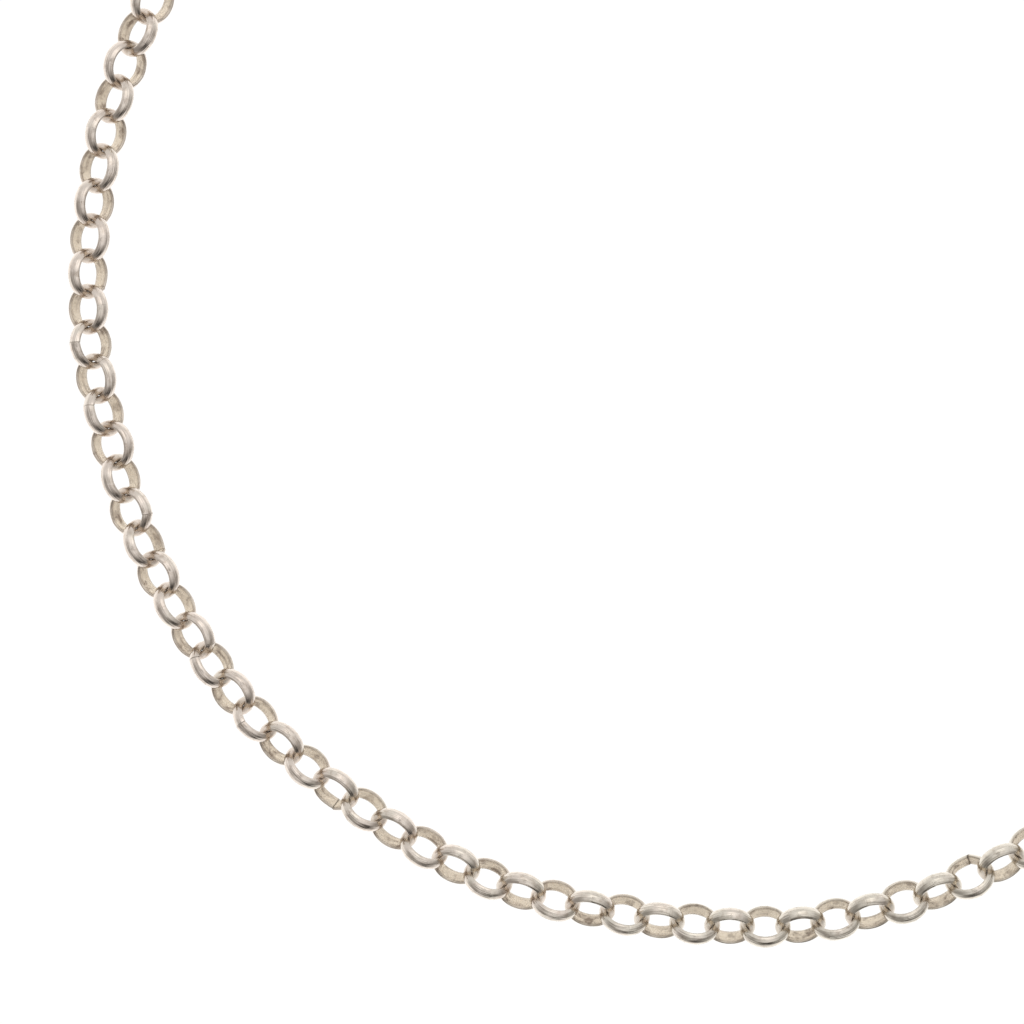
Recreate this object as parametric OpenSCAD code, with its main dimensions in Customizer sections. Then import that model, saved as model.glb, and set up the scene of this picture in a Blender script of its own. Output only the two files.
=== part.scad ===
// Rolo chain necklace: round links of half-round wire, joined end to end into
// a closed loop that lies flat on a surface, with a plain ring clasp at the back.

/* [Necklace] */
// Length round the loop, clasp and all
necklace_length = 450; // [360:5:600]
// Place of the first link, just after the clasp, in degrees from +X
first_link_at = 50.6; // [0:0.1:360]

/* [Links] */
// Diameter of the hole in a link
link_inner_d = 4.3; // [3.8:0.02:5.5]
// Breadth of the half-round wire, measured along the link's own axis
wire_w = 1.65; // [1.2:0.05:1.9]
// Thickness of the half-round wire, from its flat inner face to the top of the dome
wire_t = 0.72; // [0.5:0.02:0.95]
// Breadth of the softened edge on each side of the flat inner face
edge_w = 0.4; // [0.25:0.01:0.5]
// Depth of the softened edge
edge_d = 0.24; // [0.12:0.01:0.3]
// Free play between two links that meet
link_play = 0.29; // [0.2:0.005:0.5]
// Lean of a link from the surface that the chain lies on, in degrees
link_lean = 45; // [38:1:52]

/* [Clasp] */
// Hole in the clasp's ring
ring_inner_d = 4.2; // [3.8:0.1:6]
// Wire of the clasp's ring
ring_wire_d = 1.3; // [0.9:0.05:1.6]
// Wire of the soldered eye
eye_wire_d = 0.9; // [0.6:0.05:1.2]
// Room round the link's wire where it passes through the eye, on top of the free play
eye_play = 0.1; // [0.05:0.05:0.5]
// Depth of the solder joint, where the eye sinks into the ring
solder_d = 0.8; // [0.5:0.05:0.85]
// Lean of the clasp from the surface, in degrees
clasp_lean = 37; // [25:1:45]

/* [Hidden] */

// How the chain lies in the hand-laid curve, as chosen points of its route. Between the
// rows it eases from one to the next, and outside them it lies on the plain circle.
// LINK counts from the first link, OUT moves a link away from the loop's centre,
// ALONG moves it on round the loop (both mm), and ROLL turns all links about the chain's
// own line (degrees), so that every second link stands up and the others lie down. OPEN
// stands every link up by that much more (degrees).
LINK = 0;
OUT = 1;
ALONG = 2;
ROLL = 3;
OPEN = 4;
LAY = [
    [20, 0, 0, 0, 0],
    [35, 0.05, 0.15, 1.5, 1.5],
    [39, -0.15, 0.27, -4, 3],
    [41, 0, 0.33, -5, 2.5],
    [43, 0, 0.4, -1.5, 1],
    [46, -0.4, 0.2, -9, 0.5],
    [48, -0.05, 0.05, -7, 2],
    [51, 0.05, -0.1, -5, 3],
    [55, 0.25, -0.3, -1.5, 2],
    [57, 0.05, -0.25, -0.5, 5.5],
    [59, -0.1, -0.15, -0.5, 5.5],
    [63, 0.15, 0, -0.5, 5.5],
    [67, -0.15, 0.1, 2.5, 5],
    [69, 0, 0.15, 1, 5],
    [72, 0.4, 0.17, 2, 4],
    [75, 0.1, 0.2, 4.5, 3.5],
    [78, -0.25, 0.15, 4, 3],
    [95, 0, 0, 0, 0]
];

// Link radii: the flat inner face and the top of the dome
inner_r = link_inner_d / 2;
outer_r = inner_r + wire_t;

// The dome is one arc from softened edge to softened edge
half_w = wire_w / 2;
dome_h = wire_t - edge_d;
dome_r = (dome_h * dome_h + half_w * half_w) / (2 * dome_h);

// The softened edge has one corner part of the way down, at these shares of its
// depth and of its breadth, counted from the outside
corner_down = 0.25;
corner_in = 0.45;

// Corners of the softened edge, as [depth under the flat face, distance from the middle]
EDGE = [
    [0, half_w - edge_w],
    [edge_d * corner_down, half_w - edge_w * corner_in],
    [edge_d, half_w]
];

// The edge as it is cut: it runs on straight past its last corner, where the dome ends it
edge_end = 2 * EDGE[2] - EDGE[1];
EDGE_CUT = [EDGE[0], EDGE[1], edge_end, [wire_t + edge_d, edge_end[1]]];

// Two links meet at the corners of their inner faces
link_reach = min([for (c = EDGE) sqrt(pow(inner_r + c[0], 2) - c[1] * c[1])]);
pitch = 2 * link_reach - link_play;

// A link in a round hole of radius r stops where its edge corners touch the hole
function reach_in(r) =
    min([for (c = EDGE) inner_r + c[0] + sqrt(pow(r - link_play, 2) - c[1] * c[1])]);

// Clasp sizes: the eye is just wide enough for a link's wire
ring_r = (ring_inner_d + ring_wire_d) / 2;
eye_inner_r = norm([half_w, wire_t / 2]) + link_play + eye_play;
eye_r = eye_inner_r + eye_wire_d / 2;
ring_to_eye = ring_r + ring_wire_d / 2 + eye_r + eye_wire_d / 2 - solder_d;
link_to_ring = reach_in(ring_inner_d / 2);
link_to_eye = reach_in(eye_inner_r);
clasp_span = link_to_ring + ring_to_eye + link_to_eye;

// An odd number of links, so that both end links lean the same way
link_count = 2 * round((necklace_length - clasp_span) / pitch / 2) + 1;
loop_r = ((link_count - 1) * pitch + clasp_span) / (2 * PI);

// Angle that a length takes up round the loop
function turn(length) = length / loop_r * 180 / PI;

// Row of LAY that link i comes after, and how far i is on to the next, eased
function row_before(i) = max([for (n = [0 : len(LAY) - 2]) LAY[n][LINK] <= i ? n : 0]);
function ease(x) = (1 - cos(180 * min(max(x, 0), 1))) / 2;
function lay(i, column) =
    let (n = row_before(i))
    let (step = LAY[n + 1][LINK] - LAY[n][LINK])
    let (share = ease((i - LAY[n][LINK]) / step))
    LAY[n][column] * (1 - share) + LAY[n + 1][column] * share;

// Lean of link i: even links have their inner side up, odd links their outer side
function lean(i) =
    i % 2 == 0
        ? link_lean + lay(i, ROLL) + lay(i, OPEN)
        : link_lean - 90 + lay(i, ROLL) - lay(i, OPEN);

// Height of a link's middle when a link that leans by this much stands on the surface
function rest_height(lean_angle) = (outer_r - dome_r) * sin(lean_angle) + dome_r;
function chain_height(i) =
    rest_height(max(link_lean, 90 - link_lean) + abs(lay(i, ROLL)) + lay(i, OPEN));

// The way the chain heads, against the plain circle
function yaw(i) = -atan((lay(i + 1, OUT) - lay(i - 1, OUT)) / (2 * pitch));

// Places of the clasp's ring and eye round the loop
last_link_at = first_link_at + turn((link_count - 1) * pitch);
clasp_at = last_link_at + turn(link_to_ring + ring_to_eye / 2);
clasp_height = max(chain_height(0), ring_r * sin(clasp_lean) + ring_wire_d / 2);

silver = [0.75, 0.71, 0.66];

// Steps of the drawn mesh, round a ring and round a round wire
ring_steps = 48;
wire_steps = 32;

// Section of the wire, with its flat face towards the link's axis
module wire_section() {
    intersection() {
        translate([outer_r - dome_r, 0]) circle(r = dome_r, $fn = ring_steps);
        polygon(concat(
            [for (c = EDGE_CUT) [inner_r + c[0], c[1]]],
            [for (n = [len(EDGE_CUT) - 1 : -1 : 0]) [inner_r + EDGE_CUT[n][0], -EDGE_CUT[n][1]]]
        ));
    }
}

module link() {
    rotate_extrude($fn = ring_steps) wire_section();
}

module place_link(i) {
    rotate([0, 0, first_link_at + turn(i * pitch + lay(i, ALONG))])
        translate([loop_r + lay(i, OUT), 0, chain_height(i)])
            rotate([0, 0, yaw(i)])
                rotate([0, lean(i), 0])
                    children();
}

module torus(r, wire_d) {
    rotate_extrude($fn = ring_steps) translate([r, 0]) circle(d = wire_d, $fn = wire_steps);
}

module chain() {
    color(silver)
        for (i = [0 : link_count - 1])
            place_link(i) link();
}

module clasp() {
    color(silver)
        rotate([0, 0, clasp_at])
            translate([loop_r, 0, clasp_height])
                rotate([0, -clasp_lean, 0]) {
                    translate([0, -ring_to_eye / 2, 0]) torus(ring_r, ring_wire_d);
                    translate([0, ring_to_eye / 2, 0]) torus(eye_r, eye_wire_d);
                }
}

chain();
clasp();
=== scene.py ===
# Rolo chain necklace in worn silver, lying on a pale surface. Every link is a ring of
# half-round wire, bent round and soldered, and lies where the CAD's own link lies.
import math
import random

import bpy
import numpy as np
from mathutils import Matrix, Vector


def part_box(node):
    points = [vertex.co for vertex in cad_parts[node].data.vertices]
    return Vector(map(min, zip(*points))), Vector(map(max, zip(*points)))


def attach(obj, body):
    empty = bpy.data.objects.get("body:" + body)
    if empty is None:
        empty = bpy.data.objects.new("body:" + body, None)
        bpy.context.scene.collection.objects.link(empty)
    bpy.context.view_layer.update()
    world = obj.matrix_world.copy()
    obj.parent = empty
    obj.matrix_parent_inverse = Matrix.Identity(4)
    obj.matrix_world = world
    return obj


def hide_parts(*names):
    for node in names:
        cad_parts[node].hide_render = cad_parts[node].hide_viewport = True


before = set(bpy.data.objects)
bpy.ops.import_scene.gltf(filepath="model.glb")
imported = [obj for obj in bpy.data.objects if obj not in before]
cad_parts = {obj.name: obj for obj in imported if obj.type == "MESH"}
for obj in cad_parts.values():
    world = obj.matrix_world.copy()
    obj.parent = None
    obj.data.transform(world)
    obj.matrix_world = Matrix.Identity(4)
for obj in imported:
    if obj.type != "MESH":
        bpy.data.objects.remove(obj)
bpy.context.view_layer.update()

MM = 0.001
FULL_TURN = 2 * math.pi

# The photo's view: straight down, with the loop's middle outside the picture. The camera's
# height counts from CHAIN_MIDDLE, which is about halfway up the chain as it lies.
PHOTO_PX = 1024
PX = 0.11174 * MM
LOOP_MIDDLE_PX = (730.7, 282.0)
CAMERA_HEIGHT = 600 * MM
CHAIN_MIDDLE = 2.3 * MM
SENSOR = 36.0
NEAREST_SEEN = 10 * MM
FARTHEST_SEEN = 20.0

# Softened edges of the wire, as shares of the CAD link's own width and thickness
EDGE_SHARE_W = 0.21
EDGE_SHARE_T = 0.27

# Mesh of a link: steps round the ring, and steps along each stretch of the section. Beside the
# soldered joint the ring has steps of its own, at these angles from it, in radians, and the
# other steps keep SEAM_ROOM away. All reaches below are in radians too, unless they have MM.
STEPS_ROUND = 88
STEPS_FLAT = 6
STEPS_EDGE = 3
STEPS_DOME = 12
STEPS_AT_SEAM = (0.005, 0.012, 0.02, 0.032, 0.05)
SEAM_ROOM = 0.08

# The solids keep clear of each other by 0.1 mm or more and real links touch, so the wire
# swells inwards where two links meet, until only this much is left between them
HAIR = 0.01 * MM
CONTACT_REACH = 0.55

# The gap between two links is measured this far each way from where they meet, at so many places
MEETING_REACH = 0.6
MEETING_PLACES = 41

# Where links meet, the flat face is also worn to a low crown, as high as the hollow between
# them allows; its breadth is a share of the wire's
CROWN = 0.06 * MM
CROWN_SHARE_W = 0.69

# No link is quite even: how far its ring is out of round, as two lobes and as three, and by
# what share its wire grows thicker and broader on the way round, from any starting angle
TWO_LOBES = 0.012 * MM
THREE_LOBES = 0.008 * MM
THICKER = 0.02
BROADER = 0.01
ANY_START = (0, 6.3)

# Dents in a link's dome: how many, how far from the middle as a share of half the wire's
# breadth, and the range of their sizes and depths in millimetres
DENTS = 5
DENT_PLACE = 0.8
DENT_SIZE = (0.18, 0.45)
DENT_DEPTH = (0.008, 0.022)

# Soldered joints that show in the photo, as link number: (place on the link, how open it is,
# and its dark line). Places are in degrees: 0 is where the link meets the next, 90 its upper
# side, -90 its lower. A dark line under 1 is fainter than usual, one over 1 is broader.
SEAMS = {
    41: (-54, 1.1, 0.4),
    43: (97, 0.6, 1.0),
    44: (133, 0.5, 1.0),
    45: (112, 0.5, 1.0),
    48: (70, 0.8, 1.0),
    49: (-56, 1.3, 0.4),
    52: (47, 0.6, 1.0),
    53: (129, 0.7, 1.0),
    55: (105, 0.6, 1.0),
    58: (-64, 1.6, 1.4),
    77: (-70, 1.3, 2.6),
}

# The other joints lie near the top or the bottom of their link, and are all but closed
HIDDEN_SEAM_PLACES = (90, -90)
HIDDEN_SEAM_SPREAD = 40
HIDDEN_SEAM_OPEN = (0.02, 0.12)

# Form of a joint whose openness is 1, and how far each part of it reaches. The wire's ends stay
# a little straight, so they stand out as a low corner, with a slight slip sideways from one end
# to the other and a fine groove between them.
CORNER = 0.13 * MM
CORNER_REACH = 0.40
CORNER_POWER = 1.35
SLIP = 0.035 * MM
SLIP_REACH = 0.5
GROOVE = 0.07 * MM
GROOVE_REACH = 0.011
GROOVE_MOST_OPEN = 1.2
DARK_LINE_REACH = 0.02

# The wire looks rubbed and carries painted shade this far from where links meet. Its inner half is told
# from its dome by a value of INNER_AT_FACE at the flat face and INNER_FALL less at the dome's top, kept
# to 0 to 1.
WEAR_AND_SHADE_REACH = 0.66
INNER_AT_FACE = 1.15
INNER_FALL = 1.5

# The chain's links are shared out to this many objects
PIECES = 4

# Where the random numbers of the chain and of the clasp start
CHAIN_SEED = 11
CLASP_SEED = 5

# The clasp's ring and its soldered eye, where the CAD has them
CLASP_AT = 46.33
CLASP_LEAN = 37
LOOP_R = 71.821 * MM
RING_R = 2.75 * MM
RING_WIRE = 1.3 * MM
EYE_R = 1.74 * MM
EYE_WIRE = 0.9 * MM
RING_TO_EYE = 4.79 * MM
CLASP_STEPS = (160, 36)
CLASP_THICKER = 0.012

# Solder that rises round the joint of ring and eye, how far it spreads, and how rubbed it looks
SOLDER_RISE = 0.22 * MM
SOLDER_REACH = 0.5 * MM
SOLDER_RUBBED = 0.5

# Colours of the silver, as pinker and greener tones: polished, raw on the flat inner faces, and
# tarnished, which also serves as the painted shade where links cross. Then the colours of the painted
# shade along the flat face's rim, of pits and of soldered joints.
POLISHED = ((0.705, 0.632, 0.574, 1), (0.682, 0.640, 0.568, 1))
RAW = ((1.0, 0.895, 0.745, 1), (0.993, 0.895, 0.748, 1))
TARNISH_AND_SHADE_COLOURS = ((0.362, 0.284, 0.223, 1), (0.344, 0.286, 0.232, 1))
RIM_SHADE_COLOUR = (0.34, 0.295, 0.25, 1)
PIT_COLOUR = (0.30, 0.25, 0.20, 1)
SEAM_COLOUR = (0.16, 0.13, 0.10, 1)

# The tone turns from pinker to greener between these places, in millimetres from left to right,
# and wanders by so much in broad and in short stretches
PINKER_UP_TO = -80.0
GREENER_FROM = 30.0
BROAD_DRIFT = 90.0
SHORT_DRIFT = 240.0

# How far at most a link's drawn pattern is moved on, in millimetres along the wire and across
PATTERN_SHIFT = (91.0, 57.0)

# How much each kind of tarnish dulls the metal, where 1 is full tarnish: blotches, lines along
# the wire and specks anywhere, bands, specks and stains on the flat faces, and the rubbing of
# links, which is also painted shade where links cross, stronger on the wire's inner half deep in the
# crossing, and differs from link to link
BLOTCHED = 0.36
LINED = 0.30
LESS_ON_FLAT = 0.70
SPECKLED = 0.06
FLAT_BANDED = 0.38
FLAT_SPECKLED = 0.22
FLAT_STAINED = 0.42
CONTACT_WEAR_AND_SHADE = 0.46
CONTACT_WEAR_AND_SHADE_INNER = 0.20
LEAST_WEAR_AND_SHADE_LINK = 0.80
LINK_BY_LINK = 0.4

# What roughens the polished metal: the flat faces, tarnish, rubbing and soldered joints
ROUGH_FLAT = 0.36
ROUGH_DULL = 0.10
ROUGH_CONTACT = 0.08
ROUGH_CONTACT_INNER = 0.18
ROUGH_SEAM = 0.3

# How chalky the flat faces are, how dark the painted shade along their rims is, and how dark pits and
# soldered joints look
CHALKY = 0.9
RIM_SHADE = 1.8
RIM_SHADE_LESS_AT_CONTACT = 1.5
PIT_DARK = 0.75
SEAM_DARK = 0.8

# Relief of the surface in millimetres, the mean that is taken off it again, and the shares of
# it that are worn away where links meet and on the flat faces
SOFT_DENTS = 0.050
STREAKS = 0.105
SOFT_MEAN = 0.078
DRAWN_LINES = 0.034
FINE_LINES = 0.0006
DRAWN_MEAN = 0.017
PIT_DEPTH = 0.014
SOFT_WORN = 0.6
DRAWN_WORN = 0.9
DRAWN_LESS_ON_FLAT = 0.85

# The floor glows a little past white, and reaches this far each way
FLOOR_GLOW = 1.05
FLOOR_REACH = 4.0

# Light of the room that the silver mirrors, before its lighter and darker sides, the shade of
# the camera itself, and the tints of the room's dark and light parts
CEILING_LIGHT = 0.91
TABLE_LIGHT = 1.40
CAMERA_SHADE = 0.65
SHADE_COLOUR = (1.0, 0.955, 0.905, 1)
ROOM_COLOUR = (1.0, 0.99, 0.972, 1)


def loose_parts(mesh):
    """Points of each loose part of a mesh, in metres, as one array a part."""
    same_point = 0.001 * MM
    places = np.empty(len(mesh.vertices) * 3)
    mesh.vertices.foreach_get("co", places)
    grid = np.round(places.reshape(-1, 3) / same_point).astype(np.int64)
    points, point_of = np.unique(grid, axis=0, return_inverse=True)
    ends = np.empty(len(mesh.edges) * 2, dtype=np.int64)
    mesh.edges.foreach_get("vertices", ends)
    a, b = point_of.reshape(-1)[ends].reshape(-1, 2).T
    label = np.arange(len(points))
    while True:
        lowest = np.minimum(label[a], label[b])
        spread = label.copy()
        np.minimum.at(spread, a, lowest)
        np.minimum.at(spread, b, lowest)
        spread = spread[spread]
        if (spread == label).all():
            break
        label = spread
    return [points[label == n] * same_point for n in np.unique(label)]


def link_frame(points):
    """Middle, axis, forward and upward directions of a ring, and its radii and width."""
    spread = np.cov((points - points.mean(axis=0)).T)
    axis = np.linalg.eigh(spread)[1][:, 0]
    axis = axis * np.sign(axis[2])
    forward = np.cross([0, 0, 1], axis)
    forward = forward / np.linalg.norm(forward)
    if np.cross(points.mean(axis=0), forward)[2] < 0:
        forward = -forward
    up = np.cross(axis, forward)
    up = up * np.sign(up[2])
    base = np.array([forward, up, axis])
    local = points @ base.T
    middle = (local.min(axis=0) + local.max(axis=0)) / 2
    radius = np.hypot(*(local - middle)[:, :2].T)
    return {
        "middle": middle @ base,
        "base": base,
        "inner": radius.min(),
        "outer": radius.max(),
        "width": np.ptp(local[:, 2]),
    }


def links_in_order():
    """Frames of all links, counted round the loop from the clasp."""
    low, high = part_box("clasp")
    clasp = (low + high) / 2
    start = math.atan2(clasp.y, clasp.x)
    found = [link_frame(points) for points in loose_parts(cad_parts["chain"].data)]

    def place(link):
        return (math.atan2(link["middle"][1], link["middle"][0]) - start) % FULL_TURN

    return sorted(found, key=place)


def section(thickness, width):
    """Outline of the half-round wire: height over the flat face, place across, and share of flat."""
    edge_w = width * EDGE_SHARE_W
    edge_t = thickness * EDGE_SHARE_T
    half = width / 2
    rise = thickness - edge_t
    dome = (rise ** 2 + half ** 2) / (2 * rise)
    reach = math.asin(half / dome)

    def edge(turn):
        return edge_t * (1 - math.cos(turn)), half - edge_w + edge_w * math.sin(turn)

    rows = []
    for n in range(STEPS_FLAT):
        across = (half - edge_w) * (2 * n / STEPS_FLAT - 1)
        rows.append((0, across, 1))
    for n in range(STEPS_EDGE):
        height, across = edge(math.pi / 2 * n / STEPS_EDGE)
        rows.append((height, across, 1 - n / STEPS_EDGE))
    for n in range(STEPS_DOME):
        turn = reach * (1 - 2 * n / STEPS_DOME)
        rows.append((thickness - dome + dome * math.cos(turn), dome * math.sin(turn), 0))
    for n in range(STEPS_EDGE):
        height, across = edge(math.pi / 2 * (1 - n / STEPS_EDGE))
        rows.append((height, -across, n / STEPS_EDGE))
    return np.array(rows)


def angle_from(angle, centre):
    """Angle from a centre, as half a turn at most either way."""
    return (angle - centre + math.pi) % FULL_TURN - math.pi


def bump_at(angle, centre, breadth, power=2):
    """A smooth hill of height 1 round an angle; power 4 has a flat top."""
    return np.exp(-(angle_from(angle, centre) / breadth) ** power)


def fading(away, reach):
    """1 at no distance, falling evenly to 0 at this reach."""
    return np.clip(1 - away / reach, 0, 1)


def ring_points(ring, turn, radial, across):
    """Points of a ring of wire: one row round the section for each angle in turn."""
    r = ring["inner"] + radial
    local = np.stack([r * np.cos(turn)[:, None], r * np.sin(turn)[:, None], across], axis=2)
    return ring["middle"] + local.reshape(-1, 3) @ ring["base"]


def room_inside(link, points):
    """Least free space between a link's inner face and points that lie in its hole."""
    local = (points - link["middle"]) @ link["base"].T
    half = link["width"] / 2
    edge_w = link["width"] * EDGE_SHARE_W
    edge_t = (link["outer"] - link["inner"]) * EDGE_SHARE_T
    past = np.clip((np.abs(local[:, 2]) - half + edge_w) / edge_w, 0, 1)
    face = link["inner"] + edge_t * (1 - np.sqrt(1 - past ** 2))
    room = face - np.hypot(local[:, 0], local[:, 1])
    return room[np.abs(local[:, 2]) < half].min()


def gap_between(link, following):
    """Free space between two links that meet, before their wires swell."""
    room = []
    for one, other, side in ((link, following, 0), (following, link, math.pi)):
        rows = section(one["outer"] - one["inner"], one["width"])
        turn = side + np.linspace(-MEETING_REACH, MEETING_REACH, MEETING_PLACES)
        grid = np.broadcast_to(rows, (len(turn),) + rows.shape)
        room.append(room_inside(other, ring_points(one, turn, grid[:, :, 0], grid[:, :, 1])))
    return min(room)


def closed_grid(count, width, along, around):
    """Faces of a grid closed both ways, and its lengths along and around at each corner."""
    i, j = np.meshgrid(np.arange(count), np.arange(width), indexing="ij")
    i2 = (i + 1) % count
    j2 = (j + 1) % width
    faces = np.stack([i * width + j, i2 * width + j, i2 * width + j2, i * width + j2], axis=2)
    lengths = np.stack([
        np.stack([along[i], around[j]], axis=2),
        np.stack([along[i + 1], around[j]], axis=2),
        np.stack([along[i + 1], around[j + 1]], axis=2),
        np.stack([along[i], around[j + 1]], axis=2),
    ], axis=2)
    return faces.reshape(-1, 4), lengths.reshape(-1, 4, 2)


def joint_of(number, chance):
    """Where a link's soldered joint is, how open it is, and its dark line."""
    if number in SEAMS:
        place, gape, dark = SEAMS[number]
        return math.radians(place), gape, dark
    place = chance.choice(HIDDEN_SEAM_PLACES) + chance.uniform(-HIDDEN_SEAM_SPREAD, HIDDEN_SEAM_SPREAD)
    return math.radians(place), chance.uniform(*HIDDEN_SEAM_OPEN), 1.0


def turns_round(seam):
    """Angles of the steps round a link, from its joint on."""
    near = np.array(STEPS_AT_SEAM)
    far = np.linspace(SEAM_ROOM, FULL_TURN - SEAM_ROOM, STEPS_ROUND)
    return seam + np.concatenate([near, far, FULL_TURN - near[::-1]])


def press_dents(radial, link, rows, turn, chance):
    """Heights of the wire after shallow dents are pressed into its dome."""
    on_dome = rows[:, 0] / (link["outer"] - link["inner"])
    for _ in range(DENTS):
        where = chance.uniform(-math.pi, math.pi)
        side = chance.uniform(-DENT_PLACE, DENT_PLACE) * link["width"] / 2
        size = chance.uniform(*DENT_SIZE) * MM
        depth = chance.uniform(*DENT_DEPTH) * MM
        reach = bump_at(turn, where, size / link["outer"])[:, None]
        radial = radial - depth * reach * np.exp(-((rows[:, 1] - side) / size) ** 2) * on_dome
    return radial


def swell_ends(radial, link, rows, turn, swell_ahead, swell_behind):
    """Heights of the wire after it swells and is worn to a crown where it meets its neighbours."""
    ahead = bump_at(turn, 0, CONTACT_REACH, 4)
    behind = bump_at(turn, math.pi, CONTACT_REACH, 4)
    swell = swell_ahead * ahead + swell_behind * behind
    radial = radial - swell[:, None] * (1 - rows[:, 0] / (link["outer"] - link["inner"]))
    across = 2 * rows[:, 1] / (CROWN_SHARE_W * link["width"])
    crown = CROWN * np.clip(1 - across ** 2, 0, 1) * rows[:, 2]
    return radial - (ahead + behind)[:, None] * crown


def link_mesh(link, number, swell_ahead, swell_behind, box, chance):
    """Points, faces, lengths and surface values of one link."""
    wire = link["outer"] - link["inner"]
    rows = section(wire, link["width"])
    seam, gape, dark = joint_of(number, chance)
    turn = turns_round(seam)
    count = len(turn)
    away = angle_from(turn, seam)
    corner = CORNER * gape * fading(np.abs(away), CORNER_REACH) ** CORNER_POWER
    slip = SLIP * gape * np.sign(away) * fading(np.abs(away), SLIP_REACH) ** 2
    groove = GROOVE * min(gape, GROOVE_MOST_OPEN) * np.exp(-(away / GROOVE_REACH) ** 2)

    oval = TWO_LOBES * np.cos(2 * (turn - chance.uniform(0, math.pi)))
    wave = THREE_LOBES * np.cos(3 * turn + chance.uniform(*ANY_START))
    thicker = 1 + THICKER * np.cos(turn + chance.uniform(*ANY_START))
    broader = 1 + BROADER * np.cos(2 * turn + chance.uniform(*ANY_START))
    radial = press_dents(rows[None, :, 0] * thicker[:, None], link, rows, turn, chance)
    radial = swell_ends(radial, link, rows, turn, swell_ahead, swell_behind)
    # the groove draws the section in towards its middle
    middle = wire / 2
    radial = radial - groove[:, None] * ((rows[:, 0] - middle) / middle)
    radial = radial + (corner + oval + wave)[:, None]
    across = rows[None, :, 1] * broader[:, None]
    across = across * (1 - groove[:, None] / (link["width"] / 2)) + slip[:, None]
    points = np.clip(ring_points(link, turn, radial, across), box[0], box[1])

    # lengths along the wire and round its section, in metres, for the drawn texture
    along = np.append(turn, turn[0] + FULL_TURN) * (link["inner"] + middle)
    steps = np.linalg.norm(np.diff(np.vstack([rows[:, :2], rows[:1, :2]]), axis=0), axis=1)
    faces, lengths = closed_grid(count, len(rows), along, np.insert(np.cumsum(steps), 0, 0))
    # where links meet: a mask that wears the metal and also paints shade into its colour
    wear_and_shade = bump_at(turn, 0, WEAR_AND_SHADE_REACH) + bump_at(turn, math.pi, WEAR_AND_SHADE_REACH)
    dark_line = np.exp(-(away / (DARK_LINE_REACH * max(dark, 1))) ** 2) * min(gape, dark, 1)
    values = {
        "flat": np.tile(rows[:, 2], count),
        "inner": np.tile(np.clip(INNER_AT_FACE - INNER_FALL * rows[:, 0] / wire, 0, 1), count),
        "contact": np.repeat(wear_and_shade, len(rows)),
        "seam": np.repeat(dark_line, len(rows)),
        "own": np.full(len(points), chance.random()),
    }
    return points, faces, lengths, values


def beyond(torus, points):
    """How far points lie outside a torus."""
    local = (points - torus["middle"]) @ torus["base"].T
    return np.hypot(np.hypot(local[:, 0], local[:, 1]) - torus["inner"], local[:, 2]) - torus["wire"] / 2


def torus_mesh(torus, other, box, chance):
    """Points, faces, lengths and values of a ring of round wire, with solder where it meets another."""
    count, width = CLASP_STEPS
    turn = FULL_TURN * np.arange(count) / count
    around = FULL_TURN * np.arange(width) / width
    wire = torus["wire"] / 2 * (1 + CLASP_THICKER * np.cos(turn + chance.uniform(*ANY_START)))

    def swept(extra):
        r = wire[:, None] + extra.reshape(count, width)
        return ring_points(torus, turn, r * np.cos(around), r * np.sin(around))

    near = beyond(other, swept(np.zeros(count * width)))
    points = np.clip(swept(SOLDER_RISE * fading(near, SOLDER_REACH) ** 2), box[0], box[1])
    along = np.append(turn, FULL_TURN) * torus["inner"]
    faces, lengths = closed_grid(count, width, along, np.append(around, FULL_TURN) * torus["wire"] / 2)
    none = np.zeros(len(points))
    values = {
        "flat": none,
        "inner": none,
        "contact": SOLDER_RUBBED * fading(np.abs(near), 2 * SOLDER_REACH),
        "seam": none,
        "own": np.full(len(points), chance.random()),
    }
    return points, faces, lengths, values


def outwards(points, faces, lengths):
    """Faces and their lengths with normals outwards: the volume that they close is positive."""
    a, b, c, d = (points[faces[:, n]] for n in range(4))
    volume = np.einsum("ij,ij->i", a, np.cross(b, c)) + np.einsum("ij,ij->i", a, np.cross(c, d))
    if volume.sum() > 0:
        return faces, lengths
    return faces[:, ::-1], lengths[:, ::-1]


def add_mesh(name, parts, material):
    """One object from several closed meshes, with their surface values and lengths as UVs."""
    all_faces = []
    all_lengths = []
    start = 0
    for points, faces, lengths, _ in parts:
        faces, lengths = outwards(points, faces, lengths)
        all_faces.append(faces + start)
        all_lengths.append(lengths)
        start = start + len(points)
    points = np.concatenate([part[0] for part in parts])
    faces = np.concatenate(all_faces)
    mesh = bpy.data.meshes.new(name)
    mesh.vertices.add(len(points))
    mesh.vertices.foreach_set("co", points.reshape(-1))
    mesh.loops.add(faces.size)
    mesh.loops.foreach_set("vertex_index", faces.reshape(-1))
    mesh.polygons.add(len(faces))
    mesh.polygons.foreach_set("loop_start", np.arange(len(faces)) * 4)
    mesh.update(calc_edges=True)
    mesh.validate()
    layer = mesh.uv_layers.new(name="lengths")
    layer.uv.foreach_set("vector", np.concatenate(all_lengths).reshape(-1))
    for key in parts[0][3]:
        values = np.concatenate([part[3][key] for part in parts])
        mesh.attributes.new(key, "FLOAT", "POINT").data.foreach_set("value", values)
    mesh.polygons.foreach_set("use_smooth", np.ones(len(faces), dtype=bool))
    mesh.materials.append(material)
    piece = bpy.data.objects.new(name, mesh)
    bpy.context.scene.collection.objects.link(piece)
    return piece


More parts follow.
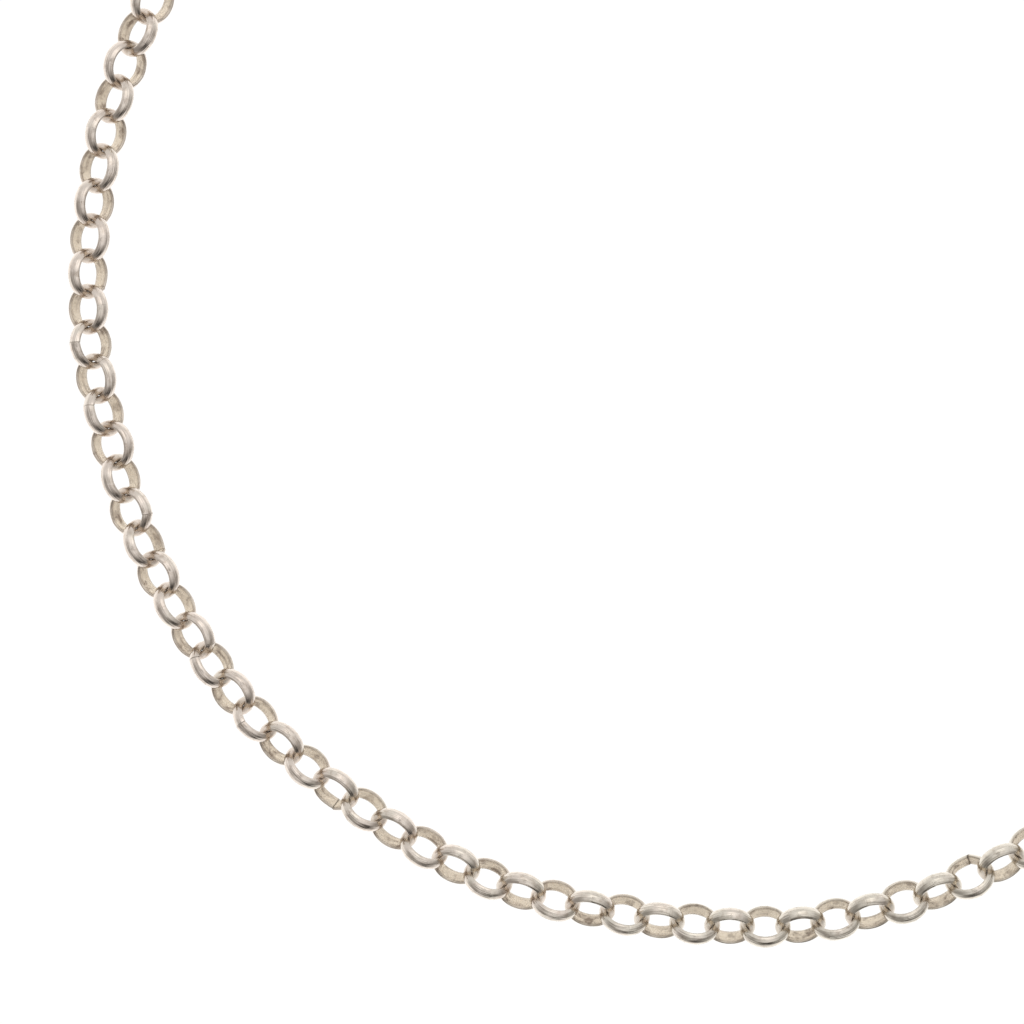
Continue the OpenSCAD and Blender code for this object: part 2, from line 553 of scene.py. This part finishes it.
class Number:
    """A number in a shader, which can be added, taken away and multiplied like a plain one."""

    def __init__(self, nodes, socket):
        self.nodes = nodes
        self.socket = socket

    def __add__(self, other):
        return self.nodes.math("ADD", self, other)

    def __radd__(self, other):
        return self.nodes.math("ADD", other, self)

    def __sub__(self, other):
        return self.nodes.math("SUBTRACT", self, other)

    def __rsub__(self, other):
        return self.nodes.math("SUBTRACT", other, self)

    def __mul__(self, other):
        return self.nodes.math("MULTIPLY", self, other)

    def __pow__(self, other):
        return self.nodes.math("POWER", self, other)

    def clamped(self):
        """The same sum or product, kept between 0 and 1."""
        self.socket.node.use_clamp = True
        return self


class Nodes:
    """Short ways to add and join shader nodes."""

    def __init__(self, tree):
        self.tree = tree
        tree.nodes.clear()

    def new(self, kind, **settings):
        made = self.tree.nodes.new("ShaderNode" + kind)
        for key, value in settings.items():
            setattr(made, key, value)
        return made

    def put(self, target, value):
        if isinstance(value, Number):
            value = value.socket
        if isinstance(value, bpy.types.NodeSocket):
            self.tree.links.new(value, target)
        else:
            target.default_value = value

    def math(self, operation, a, b):
        made = self.new("Math", operation=operation)
        self.put(made.inputs[0], a)
        self.put(made.inputs[1], b)
        return Number(self, made.outputs[0])

    def ramp(self, value, low, high, to_low=0.0, to_high=1.0):
        made = self.new("MapRange", interpolation_type="SMOOTHSTEP")
        for n, x in enumerate((value, low, high, to_low, to_high)):
            self.put(made.inputs[n], x)
        return Number(self, made.outputs[0])

    def blend(self, share, a, b):
        made = self.new("Mix", data_type="RGBA")
        self.put(made.inputs[0], share)
        self.put(made.inputs[6], a)
        self.put(made.inputs[7], b)
        return made.outputs[2]

    def noise(self, where, scale, detail, roughness=0.55):
        made = self.new("TexNoise")
        self.put(made.inputs["Vector"], where)
        self.put(made.inputs["Scale"], scale)
        self.put(made.inputs["Detail"], detail)
        self.put(made.inputs["Roughness"], roughness)
        return Number(self, made.outputs["Fac"])

    def stretch(self, where, size):
        made = self.new("Mapping")
        self.put(made.inputs["Vector"], where)
        self.put(made.inputs["Scale"], size)
        return made

    def part(self, vector, axis):
        made = self.new("SeparateXYZ")
        self.put(made.inputs[0], vector)
        return Number(self, made.outputs[axis])

    def value(self, name):
        return Number(self, self.new("Attribute", attribute_name=name).outputs["Fac"])


class Silver(Nodes):
    """Worn silver: drawn lines along the wire, fine scratches, pits, and a warm grey tone."""

    def __init__(self, tree):
        super().__init__(tree)
        to_mm = (1 / MM, 1 / MM, 1 / MM)
        self.space = self.stretch(self.new("TexCoord").outputs["Object"], to_mm).outputs[0]
        # along the wire, every link starts at a place of its own in the pattern
        self.own = self.value("own")
        shift = self.new("CombineXYZ")
        for n, length in enumerate(PATTERN_SHIFT):
            self.put(shift.inputs[n], self.own * length)
        along = self.stretch(self.new("UVMap", uv_map="lengths").outputs[0], to_mm)
        self.put(along.inputs["Location"], shift.outputs[0])
        self.along = along.outputs[0]

        self.flat = self.value("flat")
        self.contact = self.value("contact")
        self.seam = self.value("seam")
        self.inner = self.value("inner")
        self.clouds = self.noise(self.space, scale=0.45, detail=4.0)
        self.blotches = self.noise(self.space, scale=1.7, detail=3.0)
        self.lines = self.drawn((0.30, 5.0, 1.0), detail=3.0, roughness=0.6)
        self.pits = self.round_spots()
        self.tarnish_and_shade = self.tarnish_and_shade_amount()

    def drawn(self, size, detail, roughness=0.55):
        """Noise drawn out along the wire."""
        return self.noise(self.stretch(self.along, size).outputs[0], 1.0, detail, roughness)

    def round_spots(self):
        """Small round spots of random size, few of them large."""
        spots = self.new("TexVoronoi", feature="F1")
        self.put(spots.inputs["Vector"], self.space)
        self.put(spots.inputs["Scale"], 2.6)
        rare = self.new("SeparateColor")
        self.put(rare.inputs[0], spots.outputs["Color"])
        size = Number(self, rare.outputs[0]) ** 5.0 * 0.15
        return self.ramp(Number(self, spots.outputs["Distance"]) - size, -0.07, 0.045, 1.0, 0.0)

    def tarnish_and_shade_amount(self):
        """Tarnish, in blotches and along the drawn lines, and tarnish with painted shade where links rub
        past each other and cross.
        """
        flat = self.flat
        specks = self.noise(self.space, scale=2.9, detail=0.5, roughness=0.6)
        stains = self.noise(self.space, scale=0.9, detail=2.0, roughness=0.5)
        bands = self.drawn((0.25, 1.9, 1.0), detail=0.0)
        tarnish_and_shade = self.ramp(self.blotches, 0.42, 0.70) * BLOTCHED
        tarnish_and_shade = tarnish_and_shade + self.ramp(self.lines, 0.50, 0.72) * LINED
        tarnish_and_shade = tarnish_and_shade * (1.0 - flat * LESS_ON_FLAT)
        tarnish_and_shade = tarnish_and_shade + self.ramp(bands, 0.49, 0.68) * (flat * FLAT_BANDED)
        tarnish_and_shade = tarnish_and_shade + self.ramp(specks, 0.52, 0.74) * (SPECKLED + flat * FLAT_SPECKLED)
        tarnish_and_shade = tarnish_and_shade + self.ramp(stains, 0.50, 0.66) * (flat * FLAT_STAINED)
        tarnish_and_shade = tarnish_and_shade * self.ramp(self.clouds, 0.30, 0.70, 0.45, 1.35)
        # painted shade where links cross, deepest on the wire's inner half, mixed with the tarnish of
        # rubbing
        wear_and_shade = self.contact * (CONTACT_WEAR_AND_SHADE + self.inner * CONTACT_WEAR_AND_SHADE_INNER)
        wear_and_shade = wear_and_shade * self.ramp(self.blotches, 0.30, 0.70, 0.70, 1.30)
        wear_and_shade = wear_and_shade * (LEAST_WEAR_AND_SHADE_LINK + self.own * LINK_BY_LINK)
        return self.math("MINIMUM", self.math("MAXIMUM", tarnish_and_shade, wear_and_shade), 1.0)

    def metallic(self):
        """The flat inner face is raw and chalky, never polished."""
        return 1.0 - (self.flat * (CHALKY - self.contact * CHALKY)).clamped()

    def tone(self):
        """0 where the metal is pinker and 1 where it is greener, in uneven stretches."""
        drift = (self.noise(self.space, scale=0.06, detail=2.0) - 0.5) * BROAD_DRIFT
        drift = drift + (self.noise(self.space, scale=0.5, detail=2.0) - 0.5) * SHORT_DRIFT
        return self.ramp(self.part(self.space, 0) + drift, PINKER_UP_TO, GREENER_FROM)

    def colour(self):
        """Polished or raw metal under its tarnish and the painted shade where links cross, with painted
        shade along the flat face's rim, and darker pits and joints.
        """
        flat = self.flat
        tone = self.tone()
        rawness = flat * (1.0 - self.contact ** 2.0)
        clean = self.blend(rawness, self.blend(tone, *POLISHED), self.blend(tone, *RAW))
        # the tarnish colour also paints the shade where links cross
        colour = self.blend(self.tarnish_and_shade, clean, self.blend(tone, *TARNISH_AND_SHADE_COLOURS))
        # a painted dark line of shade along the rim where the flat face turns into the dome, fainter
        # where links meet
        rim_shade = (flat * (1.0 - flat) * (RIM_SHADE - self.contact * RIM_SHADE_LESS_AT_CONTACT)).clamped()
        colour = self.blend(rim_shade, colour, RIM_SHADE_COLOUR)
        colour = self.blend(self.pits * PIT_DARK, colour, PIT_COLOUR)
        return self.blend((self.seam * SEAM_DARK).clamped(), colour, SEAM_COLOUR)

    def roughness(self):
        """Polished domes, uneven in cloudy patches and along the lines, and rougher elsewhere."""
        rough = self.ramp(self.clouds, 0.2, 0.8, 0.07, 0.13)
        rough = rough + self.flat * ROUGH_FLAT + self.tarnish_and_shade * ROUGH_DULL
        rough = rough + self.contact * (ROUGH_CONTACT + self.inner * ROUGH_CONTACT_INNER)
        rough = rough + self.ramp(self.lines, 0.4, 0.75, -0.02, 0.05)
        return (rough + self.seam * ROUGH_SEAM).clamped()

    def relief(self):
        """Soft dents and streaks, drawn lines, which are rubbed smooth where links meet, and pits."""
        streaks = self.drawn((0.16, 2.6, 1.0), detail=2.0, roughness=0.6)
        fine_lines = self.drawn((0.8, 30.0, 1.0), detail=2.0)
        soft = self.noise(self.space, scale=0.8, detail=1.0) * SOFT_DENTS + streaks * STREAKS
        soft = (soft - SOFT_MEAN) * (1.0 - self.contact * SOFT_WORN)
        drawn = self.lines * DRAWN_LINES + fine_lines * FINE_LINES - DRAWN_MEAN
        drawn = drawn * (1.0 - self.contact * DRAWN_WORN) * (1.0 - self.flat * DRAWN_LESS_ON_FLAT)
        bump = self.new("Bump")
        self.put(bump.inputs["Distance"], MM)
        self.put(bump.inputs["Height"], soft + drawn - self.pits * PIT_DEPTH)
        return bump.outputs[0]


def silver(name):
    """A material of worn silver."""
    material = bpy.data.materials.new(name)
    material.use_nodes = True
    n = Silver(material.node_tree)
    out = n.new("OutputMaterial")
    metal = n.new("BsdfPrincipled")
    n.put(out.inputs[0], metal.outputs[0])
    n.put(metal.inputs["Metallic"], n.metallic())
    n.put(metal.inputs["Base Color"], n.colour())
    n.put(metal.inputs["Roughness"], n.roughness())
    n.put(metal.inputs["Normal"], n.relief())
    return material


def add_chain():
    """All links, shared out in order to a few objects."""
    chance = random.Random(CHAIN_SEED)
    links = links_in_order()
    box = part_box("chain")
    gaps = [gap_between(*pair) for pair in zip(links[:-1], links[1:])]
    swells = [0.0] + [max(gap - HAIR, 0) / 2 for gap in gaps] + [0.0]
    parts = [
        link_mesh(link, number, swells[number + 1], swells[number], box, chance)
        for number, link in enumerate(links)
    ]
    metal = silver("worn_silver")
    share = math.ceil(len(parts) / PIECES)
    for number in range(PIECES):
        some = parts[number * share:(number + 1) * share]
        piece = add_mesh(f"chain_links_{number + 1}", some, metal)
        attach(piece, "root")
        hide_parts("chain")


def add_clasp():
    """The ring and the soldered eye, in place of the CAD's plain ones."""
    chance = random.Random(CLASP_SEED)
    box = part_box("clasp")
    at = math.radians(CLASP_AT)
    lean = math.radians(CLASP_LEAN)
    out = np.array([math.cos(at), math.sin(at), 0])
    along = np.array([-math.sin(at), math.cos(at), 0])
    upright = np.array([0, 0, 1])
    axis = math.cos(lean) * upright - math.sin(lean) * out
    base = np.array([along, np.cross(axis, along), axis])
    middle = out * LOOP_R + upright * (box[0].z + box[1].z) / 2
    to_ends = along * RING_TO_EYE / 2
    ring = {"middle": middle - to_ends, "base": base, "inner": RING_R, "wire": RING_WIRE}
    eye = {"middle": middle + to_ends, "base": base, "inner": EYE_R, "wire": EYE_WIRE}
    parts = [torus_mesh(ring, eye, box, chance), torus_mesh(eye, ring, box, chance)]
    piece = add_mesh("clasp_rings", parts, silver("clasp_silver"))
    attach(piece, "root")
    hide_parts("clasp")


def add_floor():
    """The photo's background was cut out to pure white, so the floor glows evenly for the camera.
    The silver mirrors the room instead, whose lower half stands for the real, unevenly lit table."""
    corners = [(-1, -1), (1, -1), (1, 1), (-1, 1)]
    mesh = bpy.data.meshes.new("floor")
    mesh.from_pydata([(x * FLOOR_REACH, y * FLOOR_REACH, 0) for x, y in corners], [], [(0, 1, 2, 3)])
    floor = bpy.data.objects.new("floor", mesh)
    bpy.context.scene.collection.objects.link(floor)
    material = bpy.data.materials.new("white_floor")
    material.use_nodes = True
    n = Nodes(material.node_tree)
    out = n.new("OutputMaterial")
    glow = n.new("Emission")
    n.put(glow.inputs["Strength"], FLOOR_GLOW)
    n.put(out.inputs[0], glow.outputs[0])
    mesh.materials.append(material)
    floor.visible_glossy = False
    floor.visible_diffuse = False
    floor.visible_shadow = False


def add_world():
    """The room that the silver mirrors, a lit ceiling over a light table, as one smooth sky."""
    world = bpy.data.worlds.new("room")
    bpy.context.scene.world = world
    world.use_nodes = True
    n = Nodes(world.node_tree)
    out = n.new("OutputWorld")
    sky = n.new("Background")
    n.put(out.inputs[0], sky.outputs[0])
    direction = n.new("TexCoord").outputs["Generated"]
    height = n.part(direction, 2)

    def patch(azimuth, elevation, start, full, light):
        """Light round one direction. It starts and is full where the cosine to it is this much."""
        a = math.radians(azimuth)
        e = math.radians(elevation)
        made = n.new("VectorMath", operation="DOT_PRODUCT")
        n.put(made.inputs[0], direction)
        n.put(made.inputs[1], (math.cos(a) * math.cos(e), math.sin(a) * math.cos(e), math.sin(e)))
        return n.ramp(made.outputs["Value"], start, full, 0.0, light)

    # the ceiling is lightest overhead, and dim towards the picture's lower side
    above = CEILING_LIGHT + patch(azimuth=4, elevation=79, start=0.35, full=1.69, light=1.55)
    above = above - patch(azimuth=275, elevation=22, start=-0.43, full=0.37, light=0.53)
    above = above - patch(azimuth=283, elevation=20, start=0.65, full=1.60, light=1.12)
    # the camera hangs straight above, as a small dark disc
    above = above - n.ramp(height, 0.984, 0.996, 0.0, CAMERA_SHADE)
    # the table is light all round, apart from one shaded side
    below = TABLE_LIGHT - patch(azimuth=354, elevation=8, start=0.49, full=1.58, light=2.06)
    share = n.ramp(height, -0.60, 0.37)
    light = above * share + below * (1.0 - share)
    # the dark parts of the room are warmer than the white ones
    n.put(sky.inputs[0], n.blend(n.ramp(light, 0.25, 0.90), SHADE_COLOUR, ROOM_COLOUR))
    n.put(sky.inputs[1], light)


def add_lamp(place, size, watts, colour):
    """A round lamp that faces the loop's middle."""
    light = bpy.data.lights.new("lamp", "AREA")
    light.shape = "DISK"
    light.size = size
    light.energy = watts
    light.color = colour
    lamp = bpy.data.objects.new("lamp", light)
    bpy.context.scene.collection.objects.link(lamp)
    lamp.location = place
    lamp.rotation_euler = (-lamp.location).to_track_quat("-Z", "Y").to_euler()
    lamp.visible_camera = False


def add_camera():
    """The photo's camera, straight above the picture's middle."""
    data = bpy.data.cameras.new("camera")
    data.type = "PERSP"
    data.sensor_width = SENSOR
    data.lens = SENSOR * CAMERA_HEIGHT / (PHOTO_PX * PX)
    data.clip_start = NEAREST_SEEN
    data.clip_end = FARTHEST_SEEN
    camera = bpy.data.objects.new("camera", data)
    bpy.context.scene.collection.objects.link(camera)
    middle = PHOTO_PX / 2
    camera.location = (
        (middle - LOOP_MIDDLE_PX[0]) * PX,
        (LOOP_MIDDLE_PX[1] - middle) * PX,
        CAMERA_HEIGHT + CHAIN_MIDDLE,
    )
    bpy.context.scene.camera = camera


bpy.context.scene.view_settings.view_transform = "Standard"
add_camera()
add_world()
add_floor()
add_lamp(place=(0.15, 0.85, 1.25), size=1.0, watts=0.7, colour=(1.0, 0.97, 0.91))
add_chain()
add_clasp()
